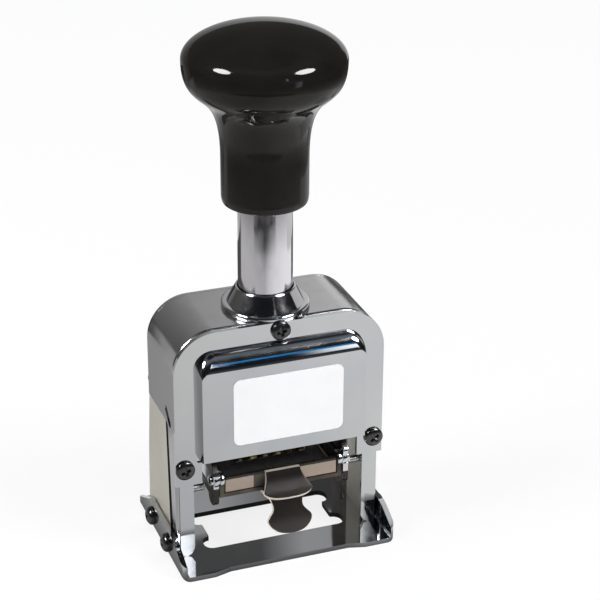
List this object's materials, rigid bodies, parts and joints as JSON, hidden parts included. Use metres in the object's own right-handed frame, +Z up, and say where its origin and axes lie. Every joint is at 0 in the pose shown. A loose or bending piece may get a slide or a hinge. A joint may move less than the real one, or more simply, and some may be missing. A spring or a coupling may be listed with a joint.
{
  "type": "hand numbering machine",
  "caption": "Hand numbering machine: mushroom knob on a chromed plunger, sheet housing over number wheels, swinging ink pad and windowed base.",
  "frame": {"origin": "middle of the underside of the base, on the bench", "axes": "+X to the machine's right as seen from the user, +Y to the back, +Z up along the plunger"},
  "size_m": [0.069, 0.0469, 0.1532],
  "materials": {
    "chrome": "polished, slightly satin on the housing",
    "nickel": "matte warm nickel",
    "steel": "machined, lightly oiled",
    "spring_steel": "smooth",
    "black_plastic": "high gloss black",
    "black_screw": "glossy black",
    "black_oxide": "blackened sheet, bare at the edges",
    "inked_brass": "dark with ink",
    "white_label": "smooth white",
    "inked_felt": "soaked felt"
  },
  "bodies": {
    "frame": {"base_plate": "chrome", "side_plate_left": "nickel", "side_plate_right": "nickel", "housing_shell": "chrome", "stem_collar": "chrome", "slot_stud_left": "nickel", "slot_stud_right": "nickel", "front_plate": "chrome", "front_label": "white_label", "rear_plate": "chrome", "front_screw_top": "black_screw", "front_screw_left": "black_screw", "front_screw_right": "black_screw", "rear_screw_top": "black_screw", "rear_screw_left": "black_screw", "rear_screw_right": "black_screw", "base_screw_left_front": "black_screw", "base_screw_left_rear": "black_screw", "base_screw_right_front": "black_screw", "base_screw_right_rear": "black_screw", "spring_seat": "steel", "cross_pin": "steel", "stop_pin_left": "steel", "stop_pin_right": "steel", "selector_dial": "steel", "selector_pivot": "steel"},
    "plunger": {"knob": "black_plastic", "stem_tube": "chrome", "stem_plug": "steel", "return_spring": "spring_steel", "crosshead": "steel", "guide_shoe_left": "inked_brass", "guide_shoe_right": "inked_brass", "cheek_left": "steel", "cheek_right": "steel", "wheel_axle": "steel", "axle_nut_left": "steel", "axle_nut_right": "steel", "detent_comb": "spring_steel"},
    "wheel_1": {"number_wheel_1": "inked_brass"},
    "wheel_2": {"number_wheel_2": "inked_brass"},
    "wheel_3": {"number_wheel_3": "inked_brass"},
    "wheel_4": {"number_wheel_4": "inked_brass"},
    "wheel_5": {"number_wheel_5": "inked_brass"},
    "wheel_6": {"number_wheel_6": "inked_brass"},
    "feed": {"feed_lever": "steel", "feed_pawl": "spring_steel"},
    "ink_frame": {"ink_cradle": "nickel", "ink_arm_left": "steel", "ink_arm_right": "steel", "cradle_pin_left": "steel", "cradle_pin_right": "steel", "thumb_tab": "black_oxide"},
    "tray": {"pad_tray": "nickel", "ink_pad": "inked_felt", "finger_tab": "black_oxide"},
    "selector": {"selector_lever": "steel", "selector_grip": "black_plastic"}
  },
  "joints": [
    {"name": "plunger_slide", "type": "slide", "parent": "frame", "child": "plunger", "axis": [0, 0, -1], "range_m": [0, 0.024], "stiffness_N_per_m": 800, "springref_m": -0.01, "deforming": ["return_spring"]},
    {"name": "ink_swing", "type": "hinge", "parent": "plunger", "child": "ink_frame", "pos_m": [0, -0.0012, 0.0336], "axis": [-1, 0, 0], "range_deg": [0, 82]},
    {"name": "feed_swing", "type": "hinge", "parent": "plunger", "child": "feed", "pos_m": [0, -0.0012, 0.0336], "axis": [1, 0, 0], "range_deg": [0, 40]},
    {"name": "number_wheel_1_spin", "type": "hinge", "parent": "plunger", "child": "wheel_1", "pos_m": [0, -0.0012, 0.0336], "axis": [1, 0, 0], "continuous": true},
    {"name": "number_wheel_2_spin", "type": "hinge", "parent": "plunger", "child": "wheel_2", "pos_m": [0, -0.0012, 0.0336], "axis": [1, 0, 0], "continuous": true},
    {"name": "number_wheel_3_spin", "type": "hinge", "parent": "plunger", "child": "wheel_3", "pos_m": [0, -0.0012, 0.0336], "axis": [1, 0, 0], "continuous": true},
    {"name": "number_wheel_4_spin", "type": "hinge", "parent": "plunger", "child": "wheel_4", "pos_m": [0, -0.0012, 0.0336], "axis": [1, 0, 0], "continuous": true},
    {"name": "number_wheel_5_spin", "type": "hinge", "parent": "plunger", "child": "wheel_5", "pos_m": [0, -0.0012, 0.0336], "axis": [1, 0, 0], "continuous": true},
    {"name": "number_wheel_6_spin", "type": "hinge", "parent": "plunger", "child": "wheel_6", "pos_m": [0, -0.0012, 0.0336], "axis": [1, 0, 0], "continuous": true},
    {"name": "pad_tray_slide", "type": "slide", "parent": "ink_frame", "child": "tray", "axis": [0, -1, 0], "range_m": [0, 0.008]},
    {"name": "selector_turn", "type": "hinge", "parent": "frame", "child": "selector", "pos_m": [0, 0.0132, 0.05474], "axis": [0, 1, 0], "range_deg": [-120, 40]}
  ],
  "couplings": [
    {"joint": "ink_swing", "follows": "plunger_slide", "rad_per_m": 59.63},
    {"joint": "feed_swing", "follows": "plunger_slide", "rad_per_m": 29}
  ]
}
